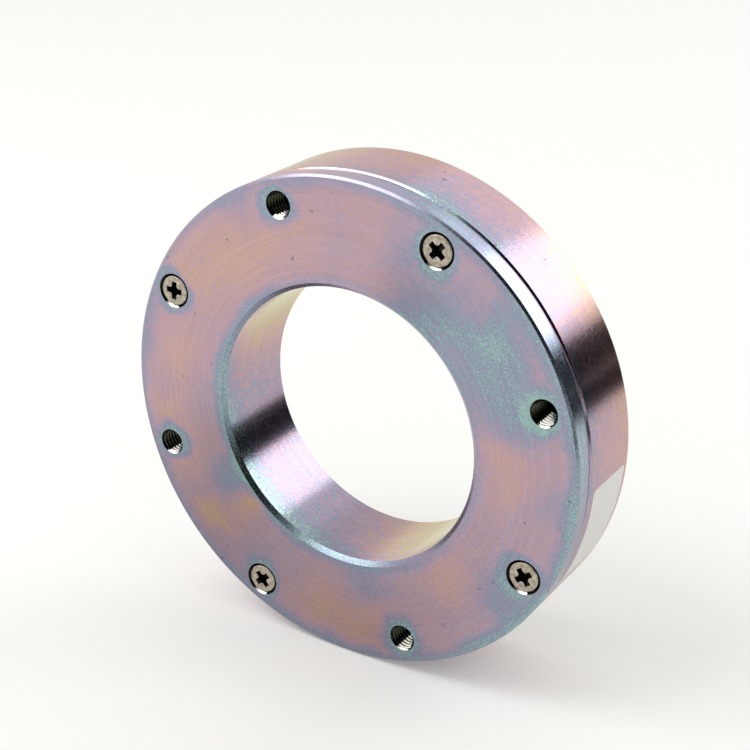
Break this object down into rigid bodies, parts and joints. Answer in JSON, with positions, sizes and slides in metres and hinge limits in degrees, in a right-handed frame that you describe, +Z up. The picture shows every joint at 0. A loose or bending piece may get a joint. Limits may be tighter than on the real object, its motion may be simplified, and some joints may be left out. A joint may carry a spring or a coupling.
{
  "type": "permanent magnet brake",
  "caption": "Ring-shaped permanent magnet brake with a wide through-bore, a flange of alternating countersunk screws and tapped holes, and a leaf spring armature in the rear.",
  "frame": {"origin": "middle of the brake's length, under its axis, on the surface that its rim stands on", "axes": "+Y along the brake's axis from the mounting face to the rear, +Z up from the rim, +X to the right as seen from the front"},
  "size_m": [0.1121, 0.024, 0.1119],
  "materials": {
    "zinc_steel": "zinc plated and iridescent passivated, satin turned",
    "nickel_screw": "nickel plated",
    "former_plastic": "moulded",
    "copper_wire": "enamelled",
    "insulating_tape": "satin",
    "brass": "turned",
    "magnet": "nickel plated",
    "friction_lining": "matt",
    "black_rubber": "moulded",
    "label_foil": "satin",
    "ground_steel": "ground",
    "rivet_steel": "turned",
    "spring_steel": "rolled"
  },
  "bodies": {
    "stator": {"inner_pole_flange": "zinc_steel", "outer_pole_ring": "zinc_steel", "flange_screw_1": "nickel_screw", "flange_screw_2": "nickel_screw", "flange_screw_3": "nickel_screw", "flange_screw_4": "nickel_screw", "coil_former": "former_plastic", "coil_winding": "copper_wire", "coil_tape": "insulating_tape", "spacer_ring": "brass", "magnet_01": "magnet", "magnet_02": "magnet", "magnet_03": "magnet", "magnet_04": "magnet", "magnet_05": "magnet", "magnet_06": "magnet", "magnet_07": "magnet", "magnet_08": "magnet", "magnet_09": "magnet", "magnet_10": "magnet", "magnet_11": "magnet", "magnet_12": "magnet", "friction_lining": "friction_lining", "lead_bush": "black_rubber", "rating_label": "label_foil"},
    "rotor": {"drive_ring": "ground_steel", "hub_rivet_1": "rivet_steel", "hub_rivet_2": "rivet_steel", "hub_rivet_3": "rivet_steel", "leaf_spring_1": "spring_steel", "leaf_spring_2": "spring_steel", "leaf_spring_3": "spring_steel"},
    "armature": {"armature_disc": "ground_steel", "armature_rivet_1": "rivet_steel", "armature_rivet_2": "rivet_steel", "armature_rivet_3": "rivet_steel"}
  },
  "joints": [
    {"name": "rotor_spin", "type": "hinge", "parent": "stator", "child": "rotor", "pos_m": [0, 0.01, 0.05595], "axis": [0, 1, 0], "continuous": true},
    {"name": "armature_release", "type": "slide", "parent": "rotor", "child": "armature", "axis": [0, 1, 0], "range_m": [0, 0.0004], "deforming": ["leaf_spring_1", "leaf_spring_2", "leaf_spring_3"]}
  ]
}
